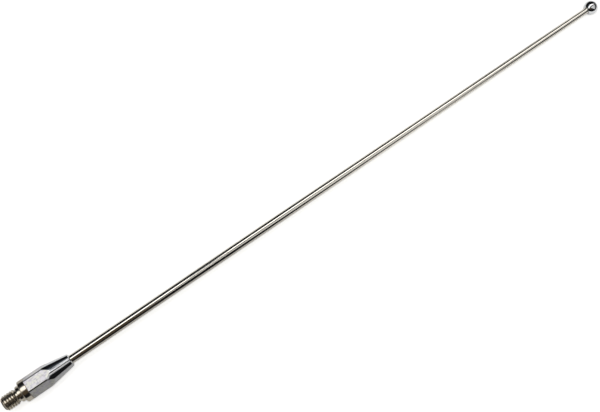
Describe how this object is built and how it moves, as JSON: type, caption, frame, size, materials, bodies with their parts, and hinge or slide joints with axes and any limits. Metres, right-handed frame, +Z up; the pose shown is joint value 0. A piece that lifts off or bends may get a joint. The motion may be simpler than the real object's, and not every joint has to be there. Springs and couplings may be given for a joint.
{
  "type": "car antenna",
  "caption": "Screw-in car antenna mast lying on a table: threaded stud with a seating collar, hexagon ferrule tapering onto a straight, slightly tapered steel whip, and a small ball on the tip.",
  "frame": {"origin": "on the table, under the centre of the lying mast's bounding box", "axes": "+X along the mast from the threaded stud to the ball tip, +Z up from the table, one flat of the hexagon down"},
  "size_m": [0.2858, 0.0092, 0.0087],
  "materials": {
    "stud_nickel": "bright turned nickel",
    "ferrule_chrome": "polished chrome",
    "rod_steel": "polished stainless steel",
    "ball_chrome": "polished chrome"
  },
  "bodies": {
    "root": {"threaded_stud": "stud_nickel", "hex_ferrule": "ferrule_chrome", "whip_rod": "rod_steel", "ball_tip": "ball_chrome"}
  },
  "joints": []
}
